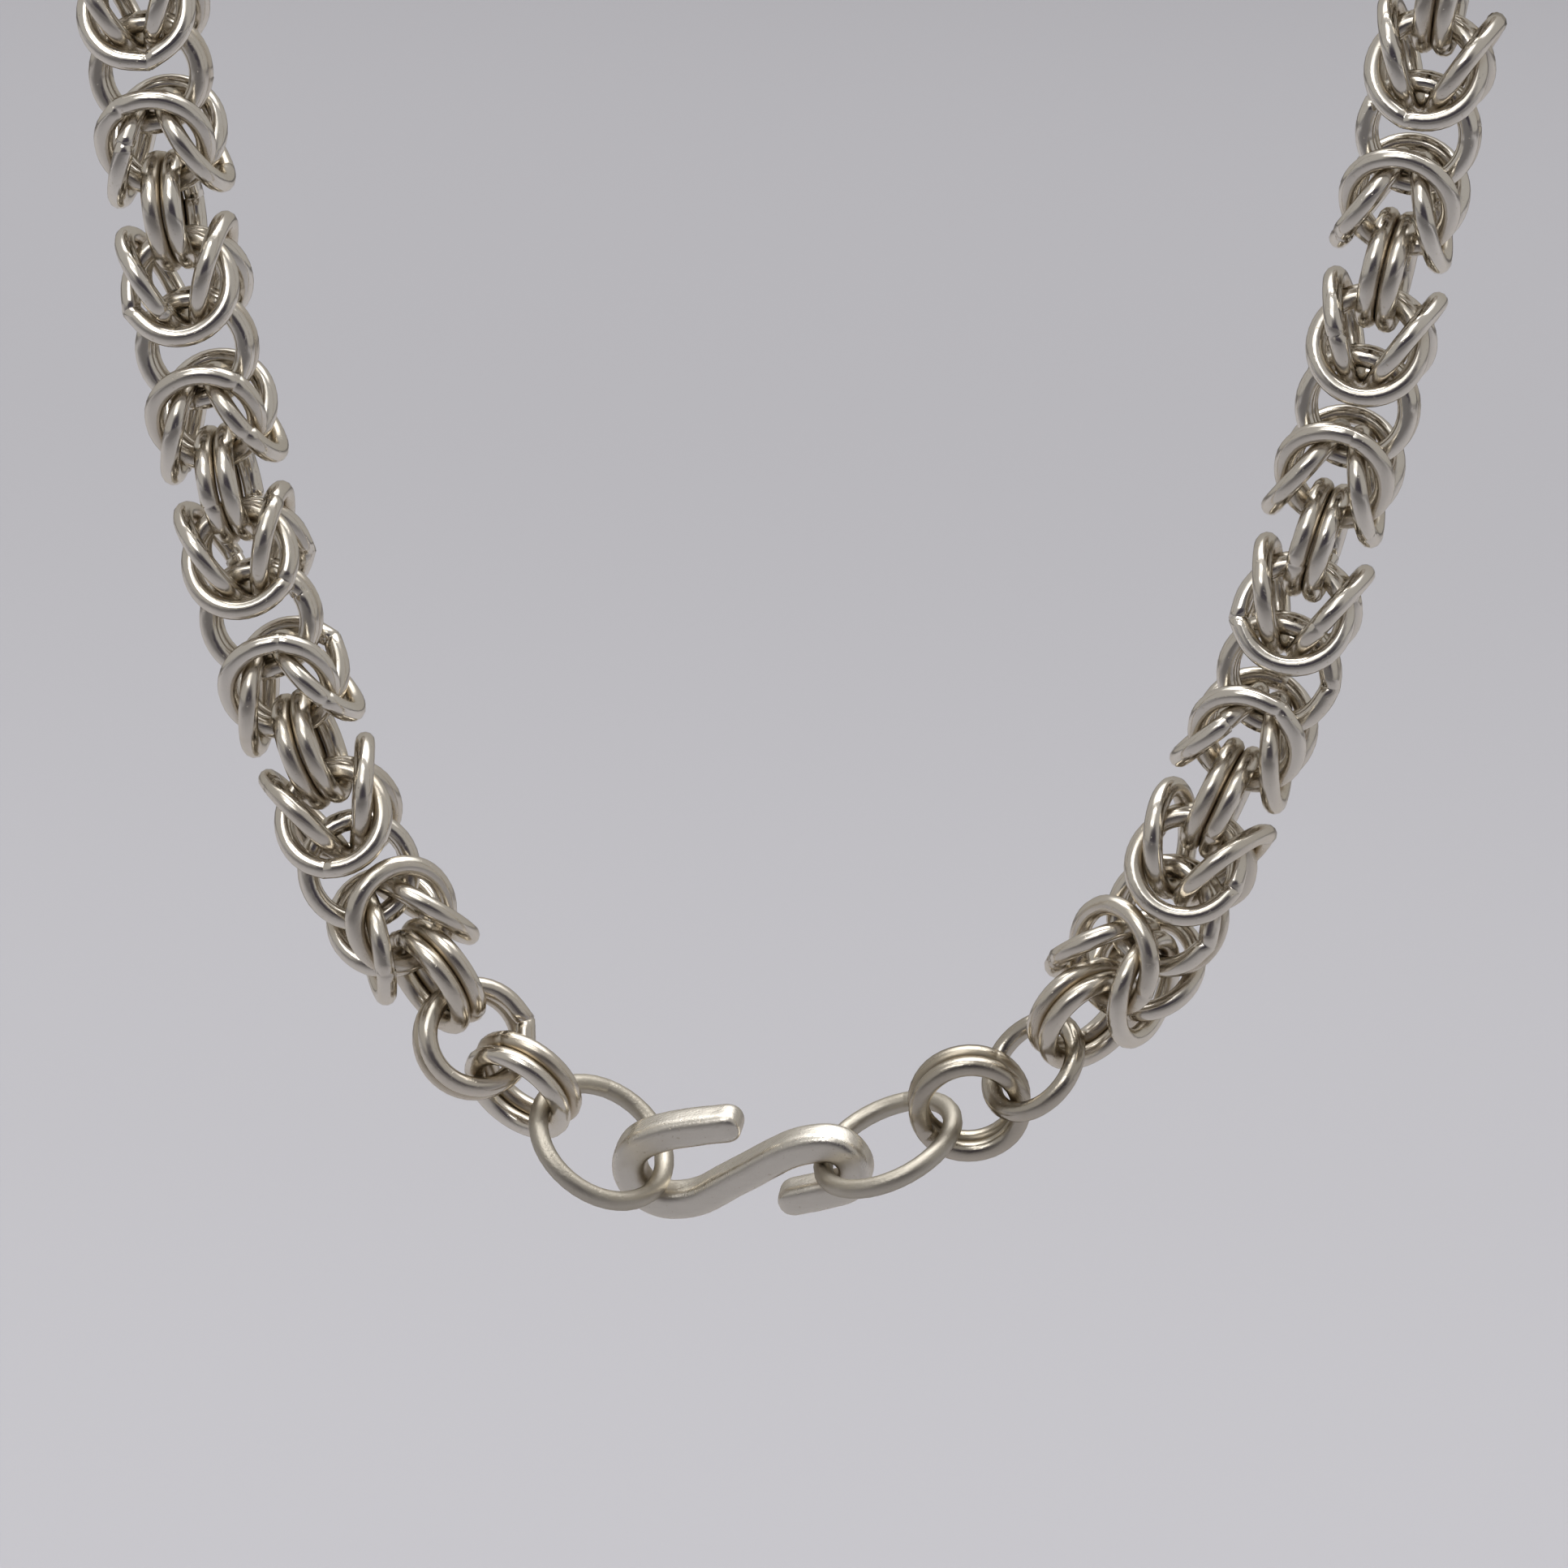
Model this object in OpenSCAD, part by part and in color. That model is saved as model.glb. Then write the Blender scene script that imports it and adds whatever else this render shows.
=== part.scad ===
// Silver chainmail necklace: a Byzantine weave of round wire rings, closed by an S hook.
// It hangs as it is worn, with the hook at the bottom. X is across the loop, Y runs from
// front to back and Z is up. The origin is on top of the neck, under the uppermost pair.

/* [Rings] */
// Gauge of the round silver wire
wire_d = 1.6; // [1.5:0.05:1.6]
// Play between rings that touch, taken off the drawn wire
play = 0.1; // [0.1:0.01:0.2]
// Inside diameter of a chain ring, the rod that it was wound on
ring_id = 6.4; // [6.4:0.02:6.5]

/* [Weave] */
// Length of one knot, from one connecting pair to the next
knot_len = 10.92; // [10.7:0.02:10.92]
// Distance from a pair's middle to the folded rings that it holds
fold_hold = 2.1; // [2.08:0.01:2.1]
// Lean of a folded ring away from the chain's axis
fold_lean = 24; // [23:0.5:24]
// How far the lean varies from ring to ring
lean_play = 2; // [0:0.5:2]

/* [Loop] */
// Straight bars of two knots on each side, below the one on top: this sets the length
bars = 9; // [8:1:10]
// Slope of the lowest bar, as rise over run
end_slope = 1.3; // [1.2:0.05:1.4]
// Rise in slope from one knot to the next above it
slope_step = 0.73; // [0.65:0.01:0.8]

/* [End knots] */
// Length of a twisted knot
end_knot_len = 10.25; // [10.2:0.01:10.25]
// Distance from a pair's middle to the folded rings of a twisted knot
end_fold_hold = 1.9; // [1.89:0.01:1.9]
// Turn about the chain's axis in each twisted knot
end_twist = 17; // [16:0.5:17]
// Share of a twisted knot's turn that its folded rings follow
twist_share = 0.26; // [0.25:0.01:0.28]

/* [Hook rings] */
// Wire of the two large rings that the hook holds
hook_ring_wire = 1.55; // [1.5:0.05:1.6]
// Mean radius of the two large rings
hook_ring_r = 5.5; // [5.45:0.05:5.6]

/* [S hook] */
// Width of the hook's bar across its flat face
bar_w = 2.6; // [2.4:0.05:2.6]
// Thickness of the hook's bar from face to face
bar_t = 2.7; // [2.4:0.05:2.75]
// Rounding along the bar's edges
bar_edge = 0.8; // [0.6:0.05:1]
// Radius of the open bend that a ring is hooked into
open_bend_r = 3.15; // [3.13:0.01:3.16]
// Radius of the closed bend that keeps its ring
closed_bend_r = 2.15; // [2.15:0.05:2.2]

/* [Hidden] */

$fn = 40;
silver = [0.80, 0.79, 0.77];
satin_silver = [0.74, 0.73, 0.71];

rod = wire_d - play;
ring_r = (ring_id + wire_d) / 2;
pair_gap = 0.004; // slack between the two rings of a pair, over the play
pair_half = (wire_d + pair_gap) / 2;
chain_half = ring_r + rod / 2;
last = 2 * bars;
end_knots = 2; // twisted knots at each end of the weave
front_to_back = [0, 1, 0];
golden_angle = 137.5; // spreads the lean of successive rings
right_phase = 73;     // keeps the two sides from leaning alike
slope_start = 0.5;    // knots above the lowest bar before the slope rises
end_reach = 25.7577;  // from the middle to each end of the weave, where the clasp begins
turn_limits = [15, 40]; // degrees between which the turn of a bar over the neck is found
halvings = 30;
bar_turn = find_turn(turn_limits[0], turn_limits[1], halvings);

// The S hook's centre line, from the open tip to the tucked tip
hook_start = [-1, 3.05];
hook_heading = 187.5;
arm_turn = 16; // bend of the open arm
HOOK_SIZE = 0; // length of a straight run, or radius of a bend
HOOK_TURN = 1; // degrees turned, 0 on a straight run
hook_rows = [
    [3.3, 0],
    [12, arm_turn],
    [open_bend_r, 360 - arm_turn - hook_heading],
    [6, 30],
    [7.2, 0],
    [7.1, -27],
    [0.4, 0],
    [closed_bend_r, -169.5],
    [3.7, 0]
];
hook_runs = len(hook_rows);
hook_lean = 25;
hook_yaw = -1.5;
hook_roll = 5;
bend_step = 10; // degrees between places along a bend
edge_steps = 4; // steps round each edge of the bar
tip_steps = 4;  // steps round each tip of the bar
tip_shift = 0.3; // share of a step by which the last place stops short of the tip
tip_thin = 0.35; // share of the thickness lost at a tip
tip_round = 0.7; // 1 for a half round tip, less for a blunter one

// Links between the weave and the hook. Each hangs from the one before it.
STEP = 0;    // distance from the middle of the piece before
SLOPE = 1;   // direction of that step, measured from the right
HEADING = 2; // direction of the chain at the link
TURN = 3;    // turn of the link about the chain, 90 when it faces the front
left_rows = [
    [5.75, -56.5, -50, 124.5],
    [5.3, -41, -34, 45],
    [7.6, -33, -37.5, 150.5],
    [11.3, -2, 0, 90]
];
right_rows = [
    [5.95, 228, 41, 139],
    [5.9, 213, 29, 65],
    [7.35, 210, 22.5, 157]
];
// How far back the pieces at the hook sit from the middle of the loop
left_ring_back = -0.3;
right_ring_back = 0;
hook_back = 0.05;

// Direction of a bar and of a knot below the horizontal, going down the left side.
// Over the neck the bars turn evenly, and below it they hang with a steady rise in slope.
function hang_drop(bar) = 180 - atan(end_slope + slope_step * max(0, 2 * (bars - bar) - slope_start));
function bar_drop(bar, turn) = min(bar * turn, hang_drop(bar));
function knot_bar(knot) = floor((knot + 1) / 2);
function knot_drop(knot) = bar_drop(knot_bar(knot), bar_turn);
function is_end(knot) = knot >= last - end_knots;
function knot_size(knot) = is_end(knot) ? end_knot_len : knot_len;
function along(drop) = [-cos(drop), 0, -sin(drop)];

// How far from the middle the weave ends when the bars over the neck turn by this much.
// The turn is found by halving, so that both ends meet the clasp whatever the chain's length.
function weave_reach(turn) = [for (k = [0 : last - 1]) knot_size(k)]
    * [for (k = [0 : last - 1]) cos(bar_drop(knot_bar(k), turn))];
function find_turn(low, high, count) = let (turn = (low + high) / 2)
    count == 0 ? turn
    : weave_reach(turn) > end_reach ? find_turn(turn, high, count - 1)
    : find_turn(low, turn, count - 1);

// Middle of a connecting pair, counted from 0 on top to the end of the left side
function pair_at(i) = i == 0
    ? [0, 0, chain_half]
    : pair_at(i - 1) + knot_size(i - 1) * along(knot_drop(i - 1));
function pair_drop(i) = i == 0 ? 0 : i == last ? knot_drop(last - 1)
    : (knot_drop(i - 1) + knot_drop(i)) / 2;
function pair_twist(i) = end_twist * max(0, i - last + end_knots);

// A point or direction mirrored onto the other side of the loop when side is -1
function on_side(v, side) = [side * v[0], v[1], v[2]];

// The two directions across the chain: even pairs face the first, odd pairs the second
function across(drop, twist, odd) = let (in_plane = [-sin(drop), 0, cos(drop)]) odd
    ? sin(twist) * in_plane + cos(twist) * front_to_back
    : cos(twist) * in_plane - sin(twist) * front_to_back;

// A link's place and facing on the way from the weave to the hook
function walk(start, rows, n) = n == 0 ? start
    : walk(start, rows, n - 1)
        + rows[n - 1][STEP] * [cos(rows[n - 1][SLOPE]), 0, sin(rows[n - 1][SLOPE])];
function facing(row) = cos(row[TURN]) * [-sin(row[HEADING]), 0, cos(row[HEADING])]
    + sin(row[TURN]) * front_to_back;

// Place and heading on the hook's centre line at the start of a row
function hook_next(p, row) = row[HOOK_TURN] == 0
    ? [p[0] + row[HOOK_SIZE] * cos(p[2]), p[1] + row[HOOK_SIZE] * sin(p[2]), p[2]]
    : let (r = row[HOOK_SIZE] * sign(row[HOOK_TURN]), h = p[2] + row[HOOK_TURN])
        [p[0] + r * (sin(h) - sin(p[2])), p[1] - r * (cos(h) - cos(p[2])), h];
function hook_pose(n) = n == 0 ? [hook_start[0], hook_start[1], hook_heading]
    : hook_next(hook_pose(n - 1), hook_rows[n - 1]);

// A round ring of wire with its middle at a point, facing along a direction
module ring(middle, face, mean_r, wire) {
    translate(middle)
        rotate([0, acos(face[2] / norm(face)), atan2(face[1], face[0])])
            rotate_extrude()
                translate([mean_r, 0]) circle(d = wire);
}

// Two rings side by side that join one knot to the next
module connecting_pair(i, side) {
    face = across(pair_drop(i), pair_twist(i), i % 2 == 1);
    for (k = [-1, 1])
        ring(on_side(pair_at(i) + k * pair_half * face, side), on_side(face, side), ring_r, rod);
}

// Two rings that hang in a pair and fold apart, half of the knot towards another pair
module folded_rings(i, other, side) {
    knot = min(i, other);
    to_other = (other > i ? 1 : -1) * along(knot_drop(knot));
    twist = pair_twist(i) + twist_share * (pair_twist(other) - pair_twist(i));
    spread = across(knot_drop(knot), twist, i % 2 == 0);
    hold = is_end(knot) ? end_fold_hold : fold_hold;
    for (k = [-1, 1]) {
        serial = 4 * i + 2 * (other - i) + k + (side < 0 ? right_phase : 0);
        lean = fold_lean + (is_end(knot) ? 0 : lean_play * sin(golden_angle * serial));
        middle = pair_at(i)
            + k * (pair_half + ring_r * sin(lean)) * spread
            + (hold + ring_r * cos(lean)) * to_other;
        face = cos(lean) * spread - k * sin(lean) * to_other;
        ring(on_side(middle, side), on_side(face, side), ring_r, rod);
    }
}

// One side of the weave, from the top of the neck down to its last pair
module weave(side) {
    for (i = [1 : last]) {
        connecting_pair(i, side);
        folded_rings(i, i - 1, side);
        folded_rings(i - 1, i, side);
    }
}

module chain_left() color(silver) {
    connecting_pair(0, 1);
    weave(1);
}

module chain_right() color(silver) weave(-1);

// One ring of a link, or a single link when k is 0
module link(start, rows, n, k) {
    face = facing(rows[n - 1]);
    ring(walk(start, rows, n) + k * pair_half * face, face, ring_r, rod);
}

module hook_ring(start, rows, n, back) {
    ring(walk(start, rows, n) + back * front_to_back, facing(rows[n - 1]),
        hook_ring_r, hook_ring_wire - play);
}

function left_end() = pair_at(last);
function right_end() = on_side(pair_at(last), -1);

module left_link_1a() color(silver) link(left_end(), left_rows, 1, -1);
module left_link_1b() color(silver) link(left_end(), left_rows, 1, 1);
module left_link_2a() color(silver) link(left_end(), left_rows, 2, -1);
module left_link_2b() color(silver) link(left_end(), left_rows, 2, 1);
module left_hook_ring() color(satin_silver) hook_ring(left_end(), left_rows, 3, left_ring_back);
module right_link_1() color(silver) link(right_end(), right_rows, 1, 0);
module right_link_2a() color(silver) link(right_end(), right_rows, 2, -1);
module right_link_2b() color(silver) link(right_end(), right_rows, 2, 1);
module right_hook_ring() color(satin_silver) hook_ring(right_end(), right_rows, 3, right_ring_back);

// Section of the hook's bar, a flat with rounded edges, from across its width to its thickness
function bar_section(wide, thick) = [
    for (corner = [0 : 3], step = [0 : edge_steps]) let (
        a = 90 * (corner + step / edge_steps),
        side = corner == 0 || corner == 3 ? 1 : -1,
        face = corner < 2 ? 1 : -1)
        [(side * (bar_w / 2 - bar_edge) + bar_edge * cos(a)) * wide,
         (face * (bar_t / 2 - bar_edge) + bar_edge * sin(a)) * thick]
];

// Places along the hook: x, y, heading, and the shares of the bar's width and thickness.
// Way is -1 at the start of the bar and 1 at its end.
function tip_stations(p, way) = [
    for (step = [1 : tip_steps]) let (
        from_bar = (way < 0 ? tip_steps + 1 - step : step) - tip_shift,
        a = 90 * from_bar / tip_steps,
        reach = way * bar_w / 2 * sin(a))
        [p[0] + reach * cos(p[2]), p[1] + reach * sin(p[2]), p[2],
         pow(cos(a), tip_round), 1 - tip_thin * (1 - cos(a))]
];
function part_way(p, row, share) = share == 0 ? p
    : row[HOOK_TURN] == 0 ? hook_next(p, [row[HOOK_SIZE] * share, 0])
    : hook_next(p, [row[HOOK_SIZE], row[HOOK_TURN] * share]);
function run_stations(p, row) = let (
    count = row[HOOK_TURN] == 0 ? 1 : ceil(abs(row[HOOK_TURN]) / bend_step)) [
    for (step = [0 : count - 1]) let (q = part_way(p, row, step / count))
        [q[0], q[1], q[2], 1, 1]
];
function hook_stations() = let (end = hook_pose(hook_runs)) [
    each tip_stations(hook_pose(0), -1),
    for (n = [0 : hook_runs - 1]) each run_stations(hook_pose(n), hook_rows[n]),
    [end[0], end[1], end[2], 1, 1],
    each tip_stations(end, 1)
];

// The bar swept along its centre line in the XY plane, with its thickness along Z
module bent_bar() {
    stations = hook_stations();
    around = 4 * (edge_steps + 1);
    rings = len(stations);
    points = [for (s = stations, q = bar_section(s[3], s[4]))
        [s[0] + q[0] * sin(s[2]), s[1] - q[0] * cos(s[2]), q[1]]];
    sides = [for (i = [0 : rings - 2], j = [0 : around - 1]) let (k = (j + 1) % around)
        [i * around + j, i * around + k, (i + 1) * around + k, (i + 1) * around + j]];
    start = [for (j = [0 : around - 1]) around - 1 - j];
    finish = [for (j = [0 : around - 1]) (rings - 1) * around + j];
    polyhedron(points, concat(sides, [start, finish]));
}

module s_hook() color(satin_silver) {
    translate(walk(left_end(), left_rows, 4) + hook_back * front_to_back)
        rotate([0, 0, hook_yaw]) rotate([90 + hook_lean, 0, 0]) rotate(hook_roll) bent_bar();
}

chain_left();
chain_right();
left_link_1a();
left_link_1b();
left_link_2a();
left_link_2b();
left_hook_ring();
right_link_1();
right_link_2a();
right_link_2b();
right_hook_ring();
s_hook();
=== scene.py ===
"""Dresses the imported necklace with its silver, and sets the studio, the light and the camera.

The chain is laid out from the same named values as the part's source, in millimetres. Each
ring is modelled flat round its own middle and then carried to its place in the weave, where
its wire has its full gauge. The source draws that wire a little thinner. Nothing is random:
what varies from ring to ring comes from the ring's own number.
"""

from __future__ import annotations

import logging
import math
from collections.abc import Iterable
from dataclasses import dataclass, field
from enum import Enum

import bmesh
import bpy
from mathutils import Matrix, Vector, noise

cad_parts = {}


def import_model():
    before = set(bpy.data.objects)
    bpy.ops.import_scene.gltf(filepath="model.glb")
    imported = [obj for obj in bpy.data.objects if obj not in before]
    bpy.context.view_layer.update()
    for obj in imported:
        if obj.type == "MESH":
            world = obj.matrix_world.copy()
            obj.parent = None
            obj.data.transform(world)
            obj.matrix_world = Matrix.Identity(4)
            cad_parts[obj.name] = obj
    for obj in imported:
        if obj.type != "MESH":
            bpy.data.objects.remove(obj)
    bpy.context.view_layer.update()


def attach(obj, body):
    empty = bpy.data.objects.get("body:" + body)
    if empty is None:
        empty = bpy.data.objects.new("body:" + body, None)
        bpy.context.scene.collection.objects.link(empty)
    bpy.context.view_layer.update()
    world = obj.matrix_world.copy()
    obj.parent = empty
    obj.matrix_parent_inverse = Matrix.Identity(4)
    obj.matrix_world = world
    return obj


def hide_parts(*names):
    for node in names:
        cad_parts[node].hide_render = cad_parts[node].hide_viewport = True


log = logging.getLogger("necklace")

Point = tuple[float, float, float]
Colour = tuple[float, float, float, float]

MM = 0.001
BODY = "root"
BACKWARDS = Vector((0.0, 1.0, 0.0))
GOLDEN_ANGLE = 137.5
GOLDEN_SHARE = 0.618034
# Within this reach a wire is painted darker where rings meet: partly tarnishing, partly painted
# shade.
SHADE_REACH = 1.3  # mm from another ring at which a wire begins to be shaded
DULLER_DEPTHS = (110.0, 165.0)  # mm below the origin over which rings grow duller


def sin_deg(angle: float) -> float:
    """The sine of an angle in degrees."""
    return math.sin(math.radians(angle))


def cos_deg(angle: float) -> float:
    """The cosine of an angle in degrees."""
    return math.cos(math.radians(angle))


def smooth_share(value: float, low: float, high: float) -> float:
    """How far a value has come from low to high, from 0 to 1 with soft ends."""
    share = min(1.0, max(0.0, (value - low) / (high - low)))
    return share * share * (3.0 - 2.0 * share)


class Side(Enum):
    """A side of the loop, and the sign of X there relative to the left side's layout."""

    LEFT = 1
    RIGHT = -1

    def place(self, v: Vector) -> Vector:
        """A point or direction of the left side's layout, on this side."""
        return Vector((self.value * v.x, v.y, v.z))


class Closure(Enum):
    """How the cut ends of a ring meet: corner in degrees, side step and groove in mm."""

    NEAT = (4.0, 0.00, 0.05)
    CORNERED = (13.0, 0.05, 0.09)
    STEPPED = (9.0, 0.13, 0.08)
    PEAKED = (19.0, 0.07, 0.11)
    SOLDERED = (0.0, 0.00, 0.01)


CUT_ENDS = (Closure.NEAT, Closure.CORNERED, Closure.STEPPED, Closure.PEAKED)
CUT_STRIDE, CUT_RUN = 7, 3  # how the kind of cut ends changes from ring to ring
FIRST_SEAM = 40.0  # degrees

# By a ring's number, where round the ring its seam lies in degrees, and how the ends meet
# there. These show in the photograph, but for 921 and 925, which are turned out of sight,
# and for the two large rings, whose seams are closed.
SEEN_SEAMS: dict[int, tuple[float, Closure]] = {
    104: (250.0, Closure.PEAKED),
    120: (175.0, Closure.CORNERED),
    122: (50.0, Closure.CORNERED),
    124: (330.0, Closure.PEAKED),
    134: (340.0, Closure.STEPPED),
    144: (200.0, Closure.CORNERED),
    162: (90.0, Closure.CORNERED),
    644: (355.0, Closure.PEAKED),
    650: (190.0, Closure.PEAKED),
    654: (160.0, Closure.STEPPED),
    662: (135.0, Closure.PEAKED),
    664: (205.0, Closure.CORNERED),
    670: (205.0, Closure.PEAKED),
    901: (165.0, Closure.PEAKED),
    914: (85.0, Closure.CORNERED),
    921: (60.0, Closure.NEAT),
    925: (325.0, Closure.NEAT),
    941: (120.0, Closure.SOLDERED),
    944: (60.0, Closure.SOLDERED),
}


@dataclass(frozen=True)
class Gauge:
    """A size of ring: mean radius and wire diameter in mm."""

    mean_r: float
    wire: float


CHAIN_GAUGE = Gauge(mean_r=4.0, wire=1.6)
HOOK_RING_GAUGE = Gauge(mean_r=5.5, wire=1.55)


@dataclass(frozen=True)
class Ring:
    """One ring in its place: middle in mm, the way it faces, and its own number."""

    middle: Vector
    face: Vector
    gauge: Gauge
    serial: int

    def closure(self) -> Closure:
        """The way that this ring's ends meet, which varies along the chain."""
        if self.serial in SEEN_SEAMS:
            return SEEN_SEAMS[self.serial][1]
        return CUT_ENDS[(self.serial * CUT_STRIDE + self.serial // CUT_RUN) % len(CUT_ENDS)]

    def closure_turn(self) -> float:
        """Where round the ring its ends meet, in degrees."""
        if self.serial in SEEN_SEAMS:
            return SEEN_SEAMS[self.serial][0]
        return (self.serial * GOLDEN_ANGLE + FIRST_SEAM) % 360.0

    def tone(self) -> float:
        """How dull this ring is, from 0 to 1: each differs, and the low ones are duller."""
        own = (self.serial * GOLDEN_SHARE) % 1.0
        return (own + smooth_share(-self.middle.z, *DULLER_DEPTHS)) / 2

    def carry(self) -> Matrix:
        """The matrix that carries a flat ring in mm at the origin to its place in metres."""
        turn = Matrix.Rotation(math.radians(self.closure_turn()), 4, "Z")
        lean = self.face.to_track_quat("Z", "Y").to_matrix().to_4x4()
        return Matrix.Scale(MM, 4) @ Matrix.Translation(self.middle) @ lean @ turn

    def gap_to(self, point: Vector) -> float:
        """Measures how far a point is from this ring's wire.

        Args:
            point: a point in mm.

        Returns:
            The distance in mm, negative inside the wire.
        """
        offset = point - self.middle
        height = offset.dot(self.face)
        out = math.sqrt(max(offset.length_squared - height * height, 0.0))
        return math.hypot(out - self.gauge.mean_r, height) - self.gauge.wire / 2


def crevice_depth(point: Vector, rings: Iterable[Ring]) -> float:
    """From 0 in the open to 1 where a point in mm touches one of some rings; it sets the painted
    shade and tarnishing there.
    """
    gap = min((ring.gap_to(point) for ring in rings), default=SHADE_REACH)
    return smooth_share(1.0 - gap / SHADE_REACH, 0.0, 1.0)


@dataclass(frozen=True)
class LoopPath:
    """The line that the chain hangs in, from the top of the neck down the left side, in mm.

    The neck's radius is the one with which both ends of the weave meet the clasp.
    """

    knot_len: float = 10.92
    neck_r: float = 54.5
    bars: int = 9
    end_slope: float = 1.3
    slope_step: float = 0.73
    slope_start: float = 0.5
    end_knots: int = 2
    end_knot_len: float = 10.25
    end_twist: float = 17.0
    chain_half: float = 4.75

    @property
    def last(self) -> int:
        """Number of the last connecting pair."""
        return 2 * self.bars

    def is_end(self, knot: int) -> bool:
        """Whether a knot is one of the twisted ones at the end of the weave."""
        return knot >= self.last - self.end_knots

    def knot_drop(self, knot: int) -> float:
        """Finds how far below the horizontal a knot points.

        Args:
            knot: number of the knot, from the top.

        Returns:
            The angle in degrees.
        """
        bar = (knot + 1) // 2
        above = max(0.0, 2 * (self.bars - bar) - self.slope_start)
        hanging = 180.0 - math.degrees(math.atan(self.end_slope + self.slope_step * above))
        over_neck = bar * 2 * math.degrees(math.asin(self.knot_len / self.neck_r))
        return min(over_neck, hanging)

    def along(self, drop: float) -> Vector:
        """The direction down the chain at a drop."""
        return Vector((-cos_deg(drop), 0.0, -sin_deg(drop)))

    def pair_at(self, pair: int) -> Vector:
        """Finds the middle of a connecting pair.

        Args:
            pair: number of the pair, from the top.

        Returns:
            The place in mm, on the left side.
        """
        point = Vector((0.0, 0.0, self.chain_half))
        for knot in range(pair):
            length = self.end_knot_len if self.is_end(knot) else self.knot_len
            point += length * self.along(self.knot_drop(knot))
        return point

    def pair_drop(self, pair: int) -> float:
        """Finds how far below the horizontal the chain points at a pair.

        Args:
            pair: number of the pair, from the top.

        Returns:
            The angle in degrees.
        """
        if pair == 0:
            return 0.0
        if pair == self.last:
            return self.knot_drop(self.last - 1)
        return (self.knot_drop(pair - 1) + self.knot_drop(pair)) / 2

    def pair_twist(self, pair: int) -> float:
        """How far a pair is turned about the chain, in degrees."""
        return self.end_twist * max(0, pair - self.last + self.end_knots)

    def across(self, drop: float, twist: float, face_on: bool) -> Vector:
        """The direction across the chain that a pair faces.

        Args:
            drop: how far below the horizontal the chain points there, in degrees.
            twist: the turn about the chain, in degrees.
            face_on: whether the pair shows its round face to the front.

        Returns:
            A unit direction.
        """
        in_plane = Vector((-sin_deg(drop), 0.0, cos_deg(drop)))
        if face_on:
            return sin_deg(twist) * in_plane + cos_deg(twist) * BACKWARDS
        return cos_deg(twist) * in_plane - sin_deg(twist) * BACKWARDS


@dataclass
class RingStamp:
    """Models a ring of round wire flat round the origin, with its cut ends meeting on +X."""

    gauge: Gauge
    closure: Closure
    around: int = 12
    along: int = 40
    end_gap: float = 0.16
    end_blend: float = 22.0

    def mesh(self) -> bpy.types.Mesh:
        """The ring as a mesh in mm, with a UV map in mm along and round its wire."""
        bm = bmesh.new()
        half_gap = self.end_gap / 2 / self.gauge.mean_r
        section = bmesh.ops.create_circle(bm, segments=self.around, radius=self.gauge.wire / 2)
        stand = (
            Matrix.Rotation(half_gap, 4, "Z")
            @ Matrix.Translation((self.gauge.mean_r, 0.0, 0.0))
            @ Matrix.Rotation(math.radians(90.0), 4, "X")
        )
        bmesh.ops.transform(bm, matrix=stand, verts=section["verts"])
        bmesh.ops.spin(
            bm, geom=bm.verts[:] + bm.edges[:], cent=(0, 0, 0), axis=(0, 0, 1),
            angle=2 * math.pi - 2 * half_gap, steps=self.along, use_merge=False,
        )
        ends = [edge for edge in bm.edges if edge.is_boundary]
        bridged = bmesh.ops.bridge_loops(bm, edges=ends)
        across = {edge for face in bridged["faces"] for edge in face.edges} - set(ends)
        bmesh.ops.subdivide_edges(bm, edges=list(across), cuts=1)
        self._shape_ends(bm)
        bmesh.ops.recalc_face_normals(bm, faces=bm.faces[:])
        self._lay_uv(bm)
        for face in bm.faces:
            face.smooth = True
        mesh = bpy.data.meshes.new("ring_stamp")
        bm.to_mesh(mesh)
        bm.free()
        return mesh

    def _shape_ends(self, bm: bmesh.types.BMesh) -> None:
        """Straightens the wire up to its cut ends, steps them apart and sinks the groove.

        Args:
            bm: the mesh that holds the ring.
        """
        corner, step, groove = self.closure.value
        mean_r, radius = self.gauge.mean_r, self.gauge.wire / 2
        groove_reach = math.degrees(self.end_gap / 4 / mean_r)
        for vert in bm.verts:
            turn = math.degrees(math.atan2(vert.co.y, vert.co.x))
            out = math.hypot(vert.co.x, vert.co.y) - mean_r
            centre_r = mean_r / cos_deg(max(0.0, corner - abs(turn)))
            share = 1.0 - groove / radius if abs(turn) < groove_reach else 1.0
            shift = math.copysign(step / 2, turn) * math.exp(-((turn / self.end_blend) ** 2))
            shift = 0.0 if abs(turn) < groove_reach else shift
            out_r = centre_r + out * share
            vert.co = Vector(
                (out_r * cos_deg(turn), out_r * sin_deg(turn), vert.co.z * share + shift)
            )

    def _lay_uv(self, bm: bmesh.types.BMesh) -> None:
        """Gives every corner its distance along and round the wire, in mm.

        Args:
            bm: the mesh that holds the ring.
        """
        layer = bm.loops.layers.uv.new("wire")
        for face in bm.faces:
            first: tuple[float, float] | None = None
            for loop in face.loops:
                point = loop.vert.co
                turn = math.atan2(point.y, point.x)
                out = math.hypot(point.x, point.y) - self.gauge.mean_r
                round_wire = math.atan2(point.z, out)
                if first is None:
                    first = (turn, round_wire)
                turn += 2 * math.pi * round((first[0] - turn) / (2 * math.pi))
                round_wire += 2 * math.pi * round((first[1] - round_wire) / (2 * math.pi))
                loop[layer].uv = (turn * self.gauge.mean_r, round_wire * self.gauge.wire / 2)


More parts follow.
